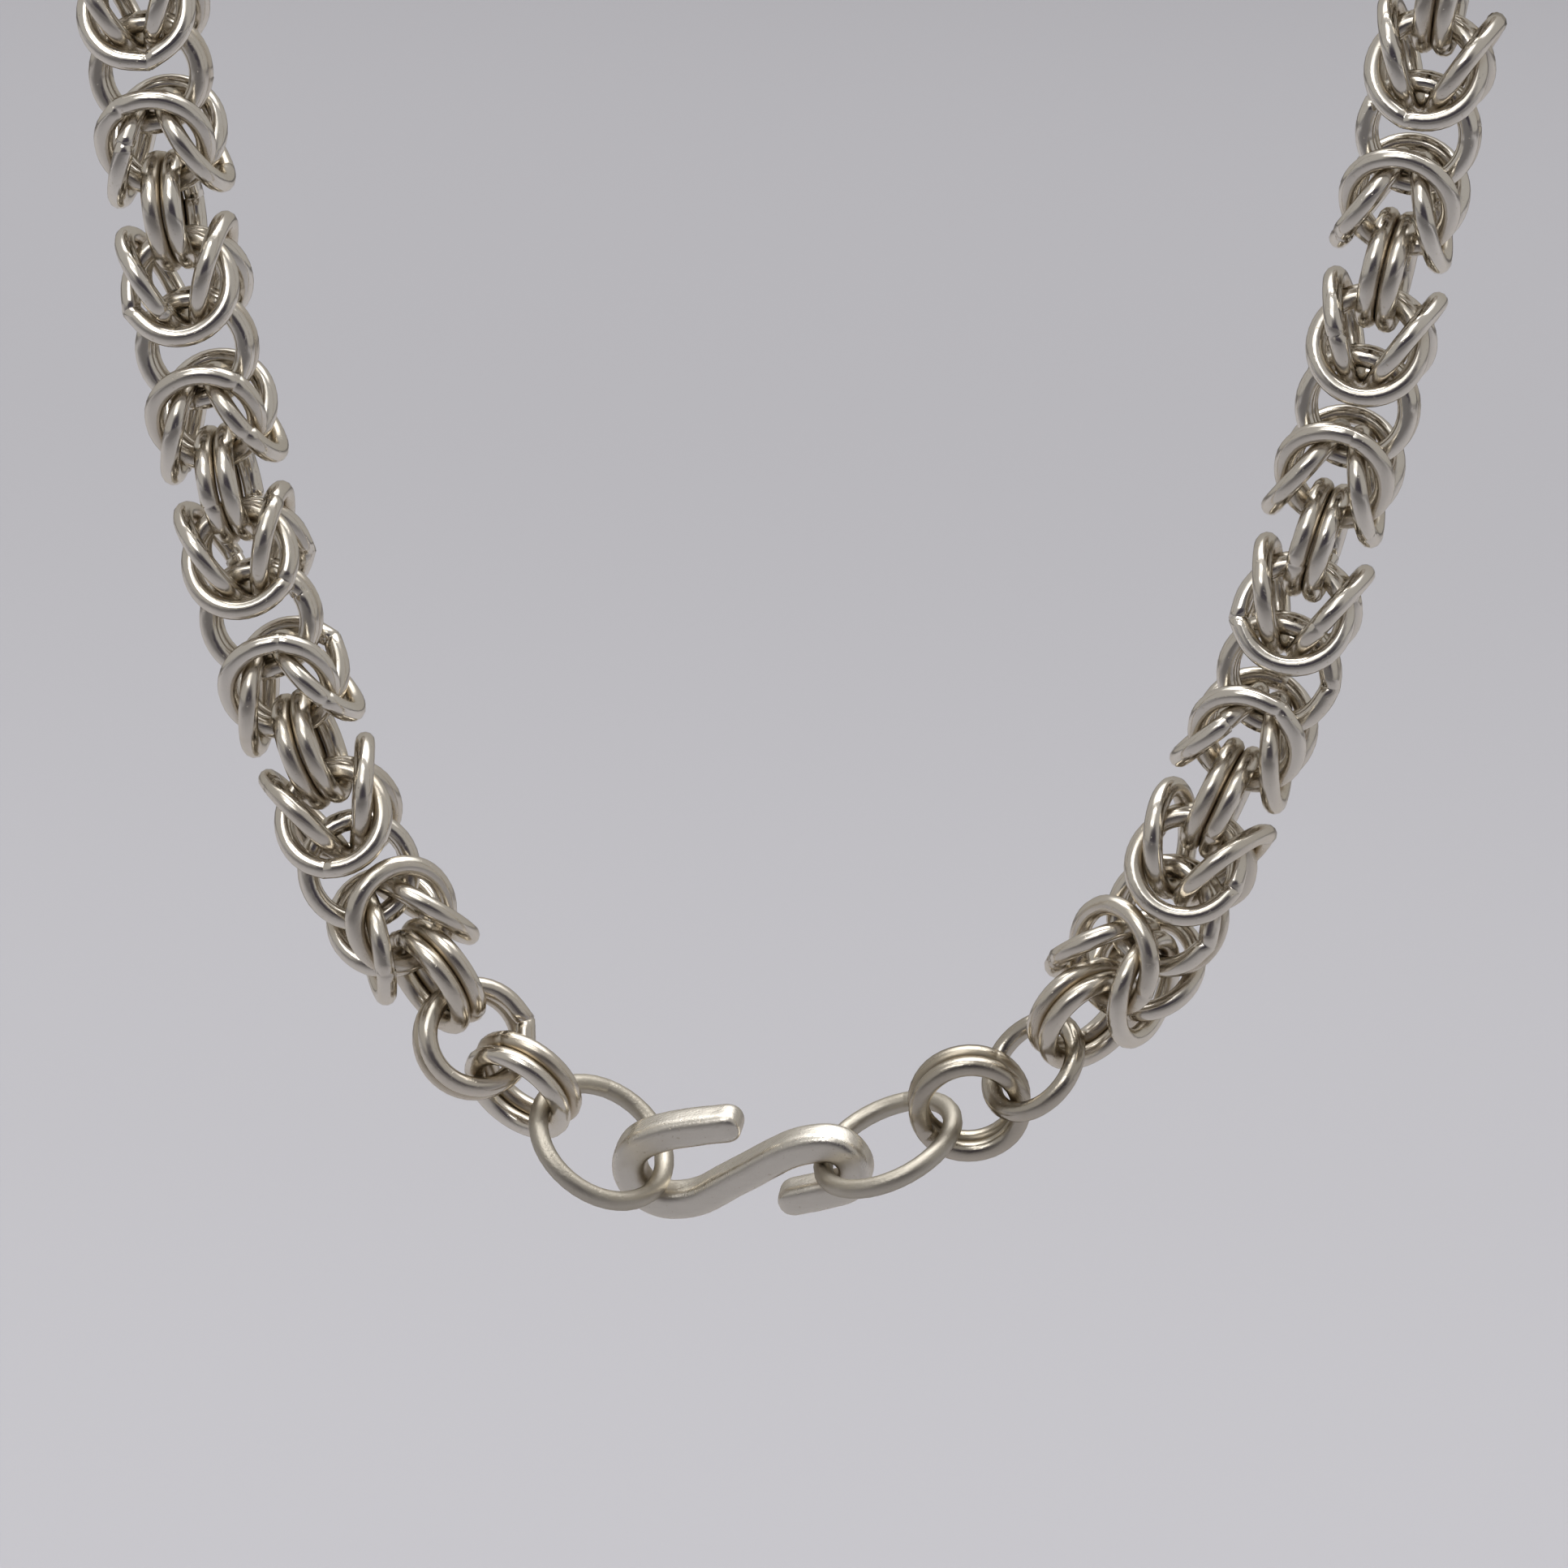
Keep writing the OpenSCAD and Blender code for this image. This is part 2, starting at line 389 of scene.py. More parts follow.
@dataclass
class Weave:
    """The chain's two sides in a Byzantine weave, in mm."""

    path: LoopPath = field(default_factory=LoopPath)
    gauge: Gauge = CHAIN_GAUGE
    pair_half: float = 0.802
    fold_hold: float = 2.1
    fold_lean: float = 24.0
    lean_play: float = 2.0
    end_fold_hold: float = 1.9
    twist_share: float = 0.26
    right_phase: int = 73

    def number(self, pair: int, side: Side, place: int) -> int:
        """A ring's own number: ten to a pair, and from 500 on the right side."""
        return 10 * pair + place + (500 if side is Side.RIGHT else 0)

    def connecting_pair(self, pair: int, side: Side) -> list[Ring]:
        """Lays the two rings side by side that join one knot to the next.

        Args:
            pair: number of the pair, from the top.
            side: side of the loop.

        Returns:
            The two rings.
        """
        path = self.path
        face = path.across(path.pair_drop(pair), path.pair_twist(pair), pair % 2 == 1)
        return [
            Ring(
                side.place(path.pair_at(pair) + k * self.pair_half * face),
                side.place(face), self.gauge, self.number(pair, side, place),
            )
            for place, k in enumerate((-1, 1))
        ]

    def folded_rings(self, pair: int, other: int, side: Side) -> list[Ring]:
        """The two rings that fold apart, half of the knot from one pair towards another.

        Args:
            pair: number of the pair that they hang in.
            other: number of the pair at the knot's other end.
            side: side of the loop.

        Returns:
            The two rings.
        """
        path, knot = self.path, min(pair, other)
        to_other = (1 if other > pair else -1) * path.along(path.knot_drop(knot))
        turn = path.pair_twist(other) - path.pair_twist(pair)
        twist = path.pair_twist(pair) + self.twist_share * turn
        spread = path.across(path.knot_drop(knot), twist, pair % 2 == 0)
        hold = self.end_fold_hold if path.is_end(knot) else self.fold_hold
        phase = self.right_phase if side is Side.RIGHT else 0
        play = 0.0 if path.is_end(knot) else self.lean_play
        rings = []
        for place, k in enumerate((-1, 1), 4 if other > pair else 2):
            serial = 4 * pair + 2 * (other - pair) + k + phase
            lean = self.fold_lean + play * sin_deg(GOLDEN_ANGLE * serial)
            middle = (
                path.pair_at(pair)
                + k * (self.pair_half + self.gauge.mean_r * sin_deg(lean)) * spread
                + (hold + self.gauge.mean_r * cos_deg(lean)) * to_other
            )
            face = cos_deg(lean) * spread - k * sin_deg(lean) * to_other
            number = self.number(pair, side, place)
            rings.append(Ring(side.place(middle), side.place(face), self.gauge, number))
        return rings

    def rings(self, side: Side) -> list[Ring]:
        """Lays every ring of one side, the uppermost pair with the left one.

        Args:
            side: side of the loop.

        Returns:
            The rings, from the top down.
        """
        found = self.connecting_pair(0, side) if side is Side.LEFT else []
        for pair in range(1, self.path.last + 1):
            found += self.connecting_pair(pair, side)
            found += self.folded_rings(pair, pair - 1, side)
            found += self.folded_rings(pair - 1, pair, side)
        return found


@dataclass(frozen=True)
class LinkRow:
    """A link on the way to the hook: step in mm, and slope, heading and turn in degrees."""

    step: float
    slope: float
    heading: float
    turn: float

    def move(self) -> Vector:
        """The step from the middle of the piece before."""
        return self.step * Vector((cos_deg(self.slope), 0.0, sin_deg(self.slope)))

    def face(self) -> Vector:
        """The way that the link faces."""
        across = Vector((-sin_deg(self.heading), 0.0, cos_deg(self.heading)))
        return cos_deg(self.turn) * across + sin_deg(self.turn) * BACKWARDS


@dataclass
class Links:
    """The links and the large rings between the weave and the hook, in mm."""

    weave: Weave
    left: tuple[LinkRow, ...] = (
        LinkRow(5.75, -56.5, -50.0, 124.5),
        LinkRow(5.3, -41.0, -34.0, 45.0),
        LinkRow(7.6, -33.0, -37.5, 150.5),
        LinkRow(11.3, -2.0, 0.0, 90.0),
    )
    right: tuple[LinkRow, ...] = (
        LinkRow(5.95, 228.0, 41.0, 139.0),
        LinkRow(5.9, 213.0, 29.0, 65.0),
        LinkRow(7.35, 210.0, 22.5, 157.0),
    )
    left_ring_back: float = -0.3
    right_ring_back: float = 0.0

    def walk(self, side: Side, steps: int) -> Vector:
        """Goes some steps down one side from the end of the weave.

        Args:
            side: side of the loop.
            steps: number of steps.

        Returns:
            The place reached, in mm.
        """
        rows = self.left if side is Side.LEFT else self.right
        start = side.place(self.weave.path.pair_at(self.weave.path.last))
        return sum((row.move() for row in rows[:steps]), start)

    def link(self, side: Side, steps: int, k: int, serial: int) -> Ring:
        """Lays one ring of a link.

        Args:
            side: side of the loop.
            steps: number of the link's step from the weave.
            k: -1 or 1 for the rings of a pair, 0 for a single ring.
            serial: the ring's own number.

        Returns:
            The ring.
        """
        face = (self.left if side is Side.LEFT else self.right)[steps - 1].face()
        middle = self.walk(side, steps) + k * self.weave.pair_half * face
        return Ring(middle, face, CHAIN_GAUGE, serial)

    def hook_ring(self, side: Side, back: float, serial: int) -> Ring:
        """The large ring that the hook holds on one side."""
        face = (self.left if side is Side.LEFT else self.right)[2].face()
        return Ring(self.walk(side, 3) + back * BACKWARDS, face, HOOK_RING_GAUGE, serial)

    def chain_links(self) -> dict[str, Ring]:
        """Each link of chain wire by the name of the solid that it stands for."""
        return {
            "left_link_1a": self.link(Side.LEFT, 1, -1, 901),
            "left_link_1b": self.link(Side.LEFT, 1, 1, 906),
            "left_link_2a": self.link(Side.LEFT, 2, -1, 911),
            "left_link_2b": self.link(Side.LEFT, 2, 1, 914),
            "right_link_1": self.link(Side.RIGHT, 1, 0, 921),
            "right_link_2a": self.link(Side.RIGHT, 2, -1, 925),
            "right_link_2b": self.link(Side.RIGHT, 2, 1, 930),
        }

    def hook_rings(self) -> dict[str, Ring]:
        """Each large ring by the name of the solid that it stands for."""
        return {
            "left_hook_ring": self.hook_ring(Side.LEFT, self.left_ring_back, 941),
            "right_hook_ring": self.hook_ring(Side.RIGHT, self.right_ring_back, 944),
        }


@dataclass
class RingPiece:
    """A piece of the model made of rings, with how deep each point lies among its neighbours,
    which sets its painted shade and tarnishing.
    """

    name: str
    rings: list[Ring]
    others: list[Ring]

    def build(self) -> bpy.types.Object:
        """Carries a stamped ring to every place and joins them in one piece."""
        bm = bmesh.new()
        crevice_shade = bm.verts.layers.float.new("crevice_shade")
        tone = bm.verts.layers.float.new("tone")
        stamps: dict[tuple[Gauge, Closure], bpy.types.Mesh] = {}
        for ring in self.rings:
            key = (ring.gauge, ring.closure())
            if key not in stamps:
                stamps[key] = RingStamp(*key).mesh()
            start = len(bm.verts)
            bm.from_mesh(stamps[key])
            bm.verts.ensure_lookup_table()
            added = bm.verts[start:]
            bmesh.ops.transform(bm, matrix=ring.carry(), verts=added)
            near = [other for other in self.others if self._close(ring, other)]
            for vert in added:
                # Depth among the neighbours: the wire is painted darker there, partly tarnishing
                # and partly painted shade.
                vert[crevice_shade] = crevice_depth(vert.co / MM, near)
                vert[tone] = ring.tone()
        piece = piece_from(bm, self.name)
        for stamp in stamps.values():
            bpy.data.meshes.remove(stamp)
        return piece

    def _close(self, ring: Ring, other: Ring) -> bool:
        """Whether a ring is another one and comes near enough to shade this one."""
        reach = ring.gauge.mean_r + other.gauge.mean_r + ring.gauge.wire + SHADE_REACH
        return other is not ring and (ring.middle - other.middle).length < reach


@dataclass(frozen=True)
class HookRun:
    """A run of the hook's bar: length of a straight, or radius of a bend, and its turn."""

    size: float
    turn: float = 0.0


@dataclass
class SHook:
    """The S hook: a flat bar with rounded edges, bent twice, in mm and degrees."""

    links: Links
    bar_w: float = 2.6
    bar_t: float = 2.7
    bar_edge: float = 0.8
    start: tuple[float, float] = (-1.0, 3.05)
    heading: float = 187.5
    arm_turn: float = 16.0
    open_bend_r: float = 3.15
    closed_bend_r: float = 2.15
    back: float = 0.05
    lean: float = 25.0
    yaw: float = -1.5
    roll: float = 5.0
    station: float = 0.4
    bend_step: float = 6.0
    edge_steps: int = 5
    flat_cuts: int = 3
    tip_steps: int = 6
    tip_lag: float = 0.3
    tip_thin: float = 0.35
    tip_round: float = 0.7
    worn_slopes: tuple[float, float] = (0.80, 0.99)
    wave: float = 0.05
    waves_per_mm: float = 0.45
    wave_shift: Point = (3.0, 5.0, 7.0)
    ripple: float = 0.012
    ripples_per_mm: float = 1.4

    def runs(self) -> tuple[HookRun, ...]:
        """The bar's runs from the open tip to the tucked one."""
        return (
            HookRun(3.3), HookRun(12.0, self.arm_turn),
            HookRun(self.open_bend_r, 360.0 - self.arm_turn - self.heading),
            HookRun(6.0, 30.0), HookRun(7.2), HookRun(7.1, -27.0),
            HookRun(0.4), HookRun(self.closed_bend_r, -169.5), HookRun(3.7),
        )

    def build(self) -> bpy.types.Object:
        """Sweeps the bar's section along its runs and sets the hook in its place."""
        bm = bmesh.new()
        at, heading = Vector((*self.start, 0.0)), self.heading
        loop = self._section(bm, at, heading)
        self._tip(bm, loop, at, heading, -1)
        for run in self.runs():
            if run.turn == 0.0:
                step = Vector((cos_deg(heading), sin_deg(heading), 0.0))
                count = max(1, round(run.size / self.station))
                for _ in range(count):
                    loop = self._extrude(bm, loop, step * run.size / count)
                at = at + step * run.size
                continue
            way = math.copysign(1.0, run.turn)
            centre = at + way * run.size * Vector((-sin_deg(heading), cos_deg(heading), 0.0))
            spun = bmesh.ops.spin(
                bm, geom=loop + edge_verts(loop), cent=centre, axis=(0, 0, 1),
                angle=math.radians(run.turn), steps=math.ceil(abs(run.turn) / self.bend_step),
                use_merge=False,
            )
            loop = [item for item in spun["geom_last"] if isinstance(item, bmesh.types.BMEdge)]
            turn = Matrix.Rotation(math.radians(run.turn), 3, "Z")
            at, heading = centre + turn @ (at - centre), heading + run.turn
        self._tip(bm, loop, at, heading, 1)
        bmesh.ops.recalc_face_normals(bm, faces=bm.faces[:])
        self._mark_faces(bm)
        self._hammer(bm)
        bmesh.ops.transform(bm, matrix=self._carry(), verts=bm.verts[:])
        self._shade_by_rings(bm)
        for face in bm.faces:
            face.smooth = True
        return piece_from(bm, "s_hook_bar")

    def _section(
        self, bm: bmesh.types.BMesh, at: Vector, heading: float
    ) -> list[bmesh.types.BMEdge]:
        """Draws the bar's section as a flat with rounded corners, across the heading.

        Args:
            bm: the mesh that holds the bar.
            at: the centre line's place there.
            heading: the centre line's heading there, in degrees.

        Returns:
            The section's edges.
        """
        grid = bmesh.ops.create_grid(bm, x_segments=1, y_segments=1, size=0.5)
        bmesh.ops.scale(bm, vec=(self.bar_w, self.bar_t, 1.0), verts=grid["verts"])
        bmesh.ops.bevel(
            bm, geom=bm.verts[:], offset=self.bar_edge, segments=self.edge_steps, profile=0.5,
            affect="VERTICES", material=-1,
        )
        bmesh.ops.delete(bm, geom=bm.faces[:], context="FACES_ONLY")
        flats = [edge for edge in bm.edges if edge.calc_length() > self.bar_edge]
        bmesh.ops.subdivide_edges(bm, edges=flats, cuts=self.flat_cuts)
        stand = (
            Matrix.Translation(at)
            @ Matrix.Rotation(math.radians(heading + 90.0), 4, "Z")
            @ Matrix.Rotation(math.radians(90.0), 4, "X")
        )
        bmesh.ops.transform(bm, matrix=stand, verts=bm.verts[:])
        return bm.edges[:]

    def _extrude(
        self, bm: bmesh.types.BMesh, loop: list[bmesh.types.BMEdge], step: Vector
    ) -> list[bmesh.types.BMEdge]:
        """Pulls the open end of the bar out by a step.

        Args:
            bm: the mesh that holds the bar.
            loop: edges of the open end.
            step: how far and which way.

        Returns:
            The edges of the new end.
        """
        pulled = bmesh.ops.extrude_edge_only(bm, edges=loop)["geom"]
        verts = [item for item in pulled if isinstance(item, bmesh.types.BMVert)]
        bmesh.ops.translate(bm, vec=step, verts=verts)
        moved = set(verts)
        return [
            item for item in pulled
            if isinstance(item, bmesh.types.BMEdge) and moved.issuperset(item.verts)
        ]

    def _tip(
        self, bm: bmesh.types.BMesh, loop: list[bmesh.types.BMEdge], at: Vector,
        heading: float, way: int,
    ) -> None:
        """Rounds one end of the bar off.

        Args:
            bm: the mesh that holds the bar.
            loop: edges of the open end.
            at: the centre line's place there.
            heading: the centre line's heading there, in degrees.
            way: 1 at the bar's end and -1 at its start.
        """
        ahead = way * Vector((cos_deg(heading), sin_deg(heading), 0.0))
        sideways = Vector((-sin_deg(heading), cos_deg(heading), 0.0))
        before = (0.0, 1.0, 1.0)
        for number in range(1, self.tip_steps + 1):
            turn = 90.0 * (number - self.tip_lag) / self.tip_steps
            after = (
                self.bar_w / 2 * sin_deg(turn), cos_deg(turn) ** self.tip_round,
                1.0 - self.tip_thin * (1.0 - cos_deg(turn)),
            )
            loop = self._extrude(bm, loop, ahead * (after[0] - before[0]))
            for vert in edge_verts(loop):
                offset = vert.co - at - ahead * after[0]
                side = offset.dot(sideways) * after[1] / before[1]
                vert.co = at + ahead * after[0] + sideways * side
                vert.co.z = offset.z * after[2] / before[2]
            before = after
        bmesh.ops.edgeloop_fill(bm, edges=loop)

    def _mark_faces(self, bm: bmesh.types.BMesh) -> None:
        """Marks the bar's two broad faces, which are worn duller than its rounded sides.

        Args:
            bm: the mesh that holds the bar.
        """
        worn = bm.verts.layers.float.new("worn")
        wire = bm.loops.layers.uv.new("wire")
        bm.normal_update()
        for vert in bm.verts:
            vert[worn] = smooth_share(abs(vert.normal.z), *self.worn_slopes)
        for face in bm.faces:
            for loop in face.loops:
                loop[wire].uv = (loop.vert.co.x, loop.vert.co.y + loop.vert.co.z)

    def _shade_by_rings(self, bm: bmesh.types.BMesh) -> None:
        """Notes how near each point of the bar lies to the rings that it holds, where it is
        painted darker: partly tarnishing, partly painted shade.

        Args:
            bm: the mesh that holds the bar.
        """
        crevice_shade = bm.verts.layers.float.new("crevice_shade")
        rings = self.links.hook_rings().values()
        for vert in bm.verts:
            vert[crevice_shade] = crevice_depth(vert.co / MM, rings)

    def _hammer(self, bm: bmesh.types.BMesh) -> None:
        """Moves the bar's skin in and out by hundredths, as hand work leaves it.

        Args:
            bm: the mesh that holds the bar.
        """
        bm.normal_update()
        shift = Vector(self.wave_shift)
        moves = []
        for vert in bm.verts:
            slow = self.wave * noise.noise(vert.co * self.waves_per_mm + shift)
            quick = self.ripple * noise.noise(vert.co * self.ripples_per_mm)
            moves.append((vert, vert.normal * (slow + quick)))
        for vert, move in moves:
            vert.co += move

    def _carry(self) -> Matrix:
        """The matrix that carries the flat hook in mm to its place in metres."""
        place = self.links.walk(Side.LEFT, 4) + self.back * BACKWARDS
        return (
            Matrix.Scale(MM, 4)
            @ Matrix.Translation(place)
            @ Matrix.Rotation(math.radians(self.yaw), 4, "Z")
            @ Matrix.Rotation(math.radians(90.0 + self.lean), 4, "X")
            @ Matrix.Rotation(math.radians(self.roll), 4, "Z")
        )


def edge_verts(edges: list[bmesh.types.BMEdge]) -> list[bmesh.types.BMVert]:
    """The vertices of some edges, each once."""
    return list({vert for edge in edges for vert in edge.verts})


def piece_from(bm: bmesh.types.BMesh, name: str) -> bpy.types.Object:
    """Turns a finished mesh into an object at the origin.

    Args:
        bm: the mesh, in metres.
        name: the piece's name.

    Returns:
        The object.
    """
    mesh = bpy.data.meshes.new(name)
    bm.to_mesh(mesh)
    bm.free()
    piece = bpy.data.objects.new(name, mesh)
    bpy.context.scene.collection.objects.link(piece)
    return piece


class NodeSheet:
    """Places and joins the nodes of one material or group."""

    COLOUR_INPUTS, COLOUR_OUTPUT = (6, 7), 2  # of a Mix node that mixes colours

    def __init__(self, tree: bpy.types.NodeTree) -> None:
        """Takes the node tree to work on."""
        self.tree = tree

    def add(self, kind: str, **settings: object) -> bpy.types.Node:
        """Adds a node.

        Args:
            kind: the kind of node.
            settings: its settings by name.

        Returns:
            The node.
        """
        node = self.tree.nodes.new(kind)
        for name, value in settings.items():
            setattr(node, name, value)
        return node

    def join(self, source: bpy.types.NodeSocket, target: bpy.types.NodeSocket) -> None:
        """Joins an output to an input."""
        self.tree.links.new(source, target)

    def math(self, operation: str, *values: object, clamp: bool = False) -> bpy.types.NodeSocket:
        """Adds a Math node.

        Args:
            operation: what it works out.
            values: sockets or numbers that feed it.
            clamp: whether the result is kept between 0 and 1.

        Returns:
            Its output.
        """
        node = self.add("ShaderNodeMath", operation=operation, use_clamp=clamp)
        for number, value in enumerate(values):
            if isinstance(value, bpy.types.NodeSocket):
                self.join(value, node.inputs[number])
            else:
                node.inputs[number].default_value = value
        return node.outputs[0]

    def noise(
        self, vector: bpy.types.NodeSocket, scale: float, detail: float = 2.0
    ) -> bpy.types.NodeSocket:
        """Adds a noise texture.

        Args:
            vector: where it is read.
            scale: how fine it is.
            detail: how many finer layers it has.

        Returns:
            Its value.
        """
        node = self.add("ShaderNodeTexNoise")
        node.inputs["Scale"].default_value = scale
        node.inputs["Detail"].default_value = detail
        self.join(vector, node.inputs["Vector"])
        return node.outputs[0]

    def ramp(
        self, value: bpy.types.NodeSocket, low: float, high: float, bottom: float, top: float
    ) -> bpy.types.NodeSocket:
        """Spreads a range of values smoothly over another.

        Args:
            value: the value to spread.
            low: where the range begins.
            high: where it ends.
            bottom: the result up to low.
            top: the result from high on.

        Returns:
            The result.
        """
        node = self.add("ShaderNodeMapRange", interpolation_type="SMOOTHSTEP")
        for socket, number in zip(node.inputs[1:5], (low, high, bottom, top)):
            socket.default_value = number
        self.join(value, node.inputs[0])
        return node.outputs[0]

    def mix(
        self, share: bpy.types.NodeSocket, first: Colour, second: Colour
    ) -> bpy.types.NodeSocket:
        """Mixes two colours.

        Args:
            share: share of the second colour.
            first: the first colour.
            second: the second colour.

        Returns:
            The mixed colour.
        """
        node = self.add("ShaderNodeMix", data_type="RGBA")
        self.join(share, node.inputs[0])
        for number, colour in zip(self.COLOUR_INPUTS, (first, second)):
            node.inputs[number].default_value = colour
        return node.outputs[self.COLOUR_OUTPUT]


@dataclass
class ShaderGroups:
    """Builds each effect that the finishes share once, as a node group.

    The scales of the drawn lines are per mm of wire and the others per metre of the part.
    """

    patch_scale: float = 420.0
    patch_play: float = 0.9
    patch_least: float = 0.45
    depth_power: float = 1.4
    film: float = 0.16
    film_patches: tuple[float, float] = (0.56, 0.74)
    own_tone: float = 0.55
    line_stretch: Point = (0.35, 2.8, 1.0)
    line_scale: float = 1.6
    line_height: float = 0.25
    dent_scale: float = 900.0
    pit_scale: float = 3800.0
    pit_specks: tuple[float, float] = (0.70, 0.76)
    pit_depth: float = 0.8
    grain_scale: float = 5200.0
    tarnish_and_shade: bpy.types.NodeTree = field(init=False)
    marks: bpy.types.NodeTree = field(init=False)

    def __post_init__(self) -> None:
        """Builds the tarnishing with its painted shade, and the handling marks."""
        self.tarnish_and_shade = self._tarnish_and_shade()
        self.marks = self._marks()

    def _start(
        self, name: str, inputs: dict[str, str], outputs: dict[str, str]
    ) -> tuple[bpy.types.NodeTree, NodeSheet, bpy.types.Node, bpy.types.Node]:
        """Starts a group with named sockets.

        Args:
            name: the group's name.
            inputs: kind of socket by name.
            outputs: kind of socket by name.

        Returns:
            The group, its sheet, and its input and output nodes.
        """
        tree = bpy.data.node_groups.new(name, "ShaderNodeTree")
        for way, sockets in (("INPUT", inputs), ("OUTPUT", outputs)):
            for socket, kind in sockets.items():
                tree.interface.new_socket(name=socket, in_out=way, socket_type=kind)
        sheet = NodeSheet(tree)
        return tree, sheet, sheet.add("NodeGroupInput"), sheet.add("NodeGroupOutput")

    def _tarnish_and_shade(self) -> bpy.types.NodeTree:
        """Warm darkening: tarnishing in patches, and where wires meet partly tarnishing and partly
        painted shade.
        """
        tree, sheet, given, result = self._start(
            "tarnish_and_painted_shade",
            {"Place": "NodeSocketVector", "Depth": "NodeSocketFloat", "Tone": "NodeSocketFloat",
             "Amount": "NodeSocketFloat"},
            {"Share": "NodeSocketFloat"},
        )
        patches = sheet.noise(given.outputs["Place"], self.patch_scale, detail=3.0)
        broken = sheet.math("MULTIPLY_ADD", patches, self.patch_play, self.patch_least)
        # Painted shade and tarnishing where wires meet, broken up in patches.
        deep = sheet.math("POWER", given.outputs["Depth"], self.depth_power)
        deep = sheet.math("MULTIPLY", deep, broken)
        film = sheet.ramp(patches, *self.film_patches, 0.0, self.film)
        own = sheet.math("MULTIPLY", given.outputs["Tone"], self.own_tone)
        total = sheet.math("ADD", sheet.math("ADD", deep, film), own)
        share = sheet.math("MULTIPLY", total, given.outputs["Amount"], clamp=True)
        sheet.join(share, result.inputs["Share"])
        return tree

    def _marks(self) -> bpy.types.NodeTree:
        """Fine scratches, soft dents and pits as a height, and where they dull the shine."""
        tree, sheet, given, result = self._start(
            "handling_marks",
            {"Along": "NodeSocketVector", "Place": "NodeSocketVector"},
            {"Height": "NodeSocketFloat", "Dull": "NodeSocketFloat", "Pits": "NodeSocketFloat",
             "Grain": "NodeSocketFloat"},
        )
        drawn = sheet.add("ShaderNodeMapping")
        drawn.inputs["Scale"].default_value = self.line_stretch
        sheet.join(given.outputs["Along"], drawn.inputs["Vector"])
        lines = sheet.noise(drawn.outputs[0], self.line_scale, detail=3.0)
        dents = sheet.noise(given.outputs["Place"], self.dent_scale, detail=1.0)
        specks = sheet.noise(given.outputs["Place"], self.pit_scale, detail=1.0)
        grain = sheet.noise(given.outputs["Place"], self.grain_scale)
        pits = sheet.ramp(specks, *self.pit_specks, 0.0, 1.0)
        height = sheet.math("ADD", sheet.math("MULTIPLY", lines, self.line_height), dents)
        height = sheet.math("SUBTRACT", height, sheet.math("MULTIPLY", pits, self.pit_depth))
        for name, value in (("Height", height), ("Dull", lines), ("Pits", pits), ("Grain", grain)):
            sheet.join(value, result.inputs[name])
        return tree


@dataclass(frozen=True)
class SilverFinish:
    """A finish of silver: its colours, its shine, and how much it is marked."""

    name: str
    slot: str
    bright: Colour
    dull: Colour
    rim: Colour
    rough: float
    rough_play: float
    tarnish_and_shade: float
    relief: float
    worn_rough: float = 0.0
    grain: float = 0.0
    pit_tarnish: float = 0.45
    tarnish_rough: float = 0.25

    def material(self, groups: ShaderGroups) -> bpy.types.Material:
        """Builds the finish as a material.

        Args:
            groups: the effects that the finishes share.

        Returns:
            The material.
        """
        made = bpy.data.materials.new(self.name)
        made.use_nodes = True
        made.node_tree.nodes.clear()
        sheet = NodeSheet(made.node_tree)
        place = sheet.add("ShaderNodeTexCoord").outputs["Object"]
        wire = sheet.add("ShaderNodeUVMap", uv_map="wire").outputs["UV"]
        depth = sheet.add("ShaderNodeAttribute", attribute_name="crevice_shade").outputs["Fac"]
        tone = sheet.add("ShaderNodeAttribute", attribute_name="tone").outputs["Fac"]
        tarnish_and_shade = sheet.add("ShaderNodeGroup", node_tree=groups.tarnish_and_shade)
        marks = sheet.add("ShaderNodeGroup", node_tree=groups.marks)
        tarnish_and_shade.inputs["Amount"].default_value = self.tarnish_and_shade
        for source, target in (
            (place, tarnish_and_shade.inputs["Place"]), (depth, tarnish_and_shade.inputs["Depth"]),
            (tone, tarnish_and_shade.inputs["Tone"]), (wire, marks.inputs["Along"]),
            (place, marks.inputs["Place"]),
        ):
            sheet.join(source, target)
        pits = sheet.math("MULTIPLY", marks.outputs["Pits"], self.pit_tarnish)
        share = sheet.math("MAXIMUM", tarnish_and_shade.outputs["Share"], pits)
        worn = sheet.add("ShaderNodeAttribute", attribute_name="worn").outputs["Fac"]
        rough = sheet.math("MULTIPLY_ADD", marks.outputs["Dull"], self.rough_play, self.rough)
        rough = sheet.math("MULTIPLY_ADD", tarnish_and_shade.outputs["Share"], self.tarnish_rough, rough)
        rough = sheet.math("MULTIPLY_ADD", worn, self.worn_rough, rough)
        bump = sheet.add("ShaderNodeBump")
        bump.inputs["Distance"].default_value = self.relief * MM
        height = marks.outputs["Height"]
        height = sheet.math("MULTIPLY_ADD", marks.outputs["Grain"], self.grain, height)
        sheet.join(height, bump.inputs["Height"])
        shader = sheet.add("ShaderNodeBsdfPrincipled")
        shader.inputs["Metallic"].default_value = 1.0
        shader.inputs["Specular Tint"].default_value = self.rim
        # The dull colour paints tarnishing and, where wires meet, painted shade.
        sheet.join(sheet.mix(share, self.bright, self.dull), shader.inputs["Base Color"])
        sheet.join(rough, shader.inputs["Roughness"])
        sheet.join(bump.outputs["Normal"], shader.inputs["Normal"])
        result = sheet.add("ShaderNodeOutputMaterial")
        sheet.join(shader.outputs[0], result.inputs["Surface"])
        return made


